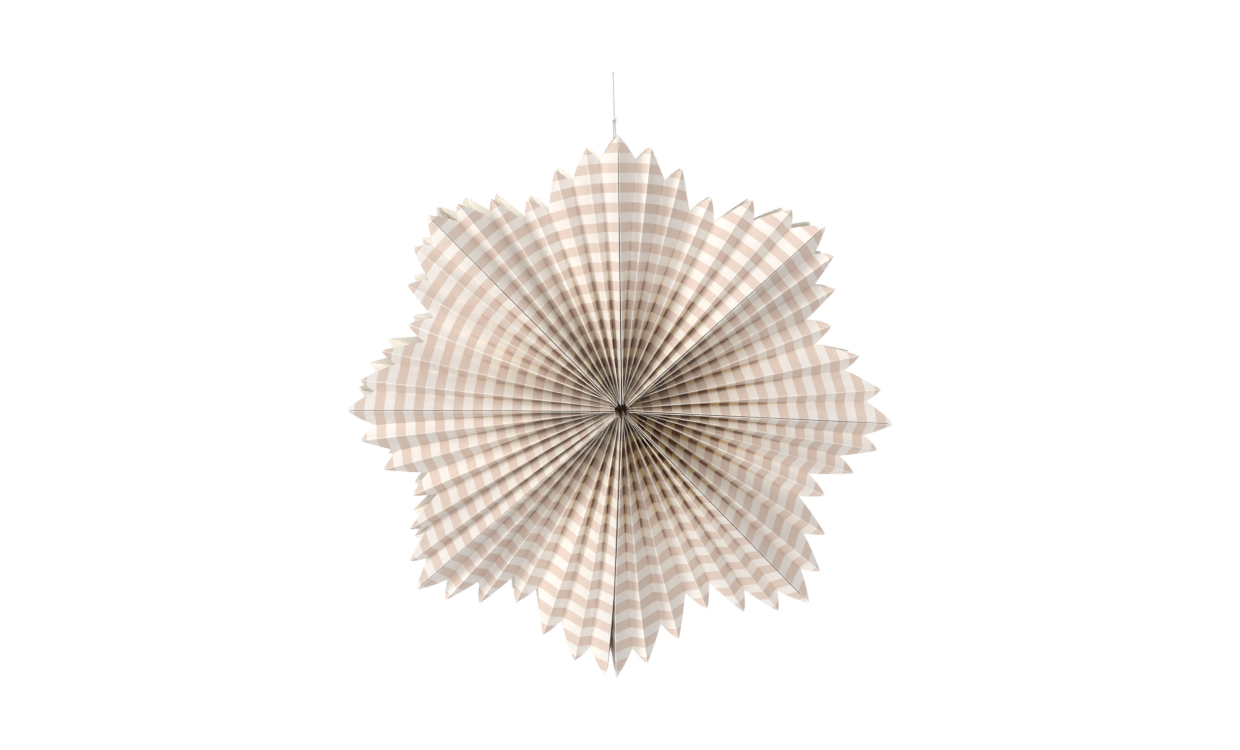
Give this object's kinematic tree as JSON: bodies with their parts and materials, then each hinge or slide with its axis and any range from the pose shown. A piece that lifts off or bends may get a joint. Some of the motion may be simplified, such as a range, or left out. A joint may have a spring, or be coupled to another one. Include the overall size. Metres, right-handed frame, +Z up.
{
  "type": "hanging paper star",
  "caption": "Hanging star of pleated paper bags that open like a fan into a ring, held by an adhesive strip and hung by a looped string.",
  "frame": {"origin": "middle of the star: on the axis that the bags fan round, at half its depth", "axes": "+Z up to the string, +Y front to back, +X to the right seen from the front"},
  "size_m": [0.5956, 0.1526, 0.6656],
  "materials": {
    "printed_paper": "uncoated paper, striped outside and plain cream inside",
    "adhesive_strip": "double-sided tape",
    "string": "thin braided string"
  },
  "bodies": {
    "root": {"bag_01": "printed_paper", "bag_02": "printed_paper", "bag_03": "printed_paper", "bag_04": "printed_paper", "bag_05": "printed_paper", "bag_06": "printed_paper", "bag_07": "printed_paper", "bag_08": "printed_paper", "bag_09": "printed_paper", "bag_10": "printed_paper", "bag_11": "printed_paper", "bag_12": "printed_paper", "bag_13": "printed_paper", "bag_14": "printed_paper", "bag_15": "printed_paper", "bag_16": "printed_paper", "closing_strip": "adhesive_strip", "hang_loop": "string", "loop_knot": "string", "hang_string": "string", "end_knot": "string"}
  },
  "joints": []
}
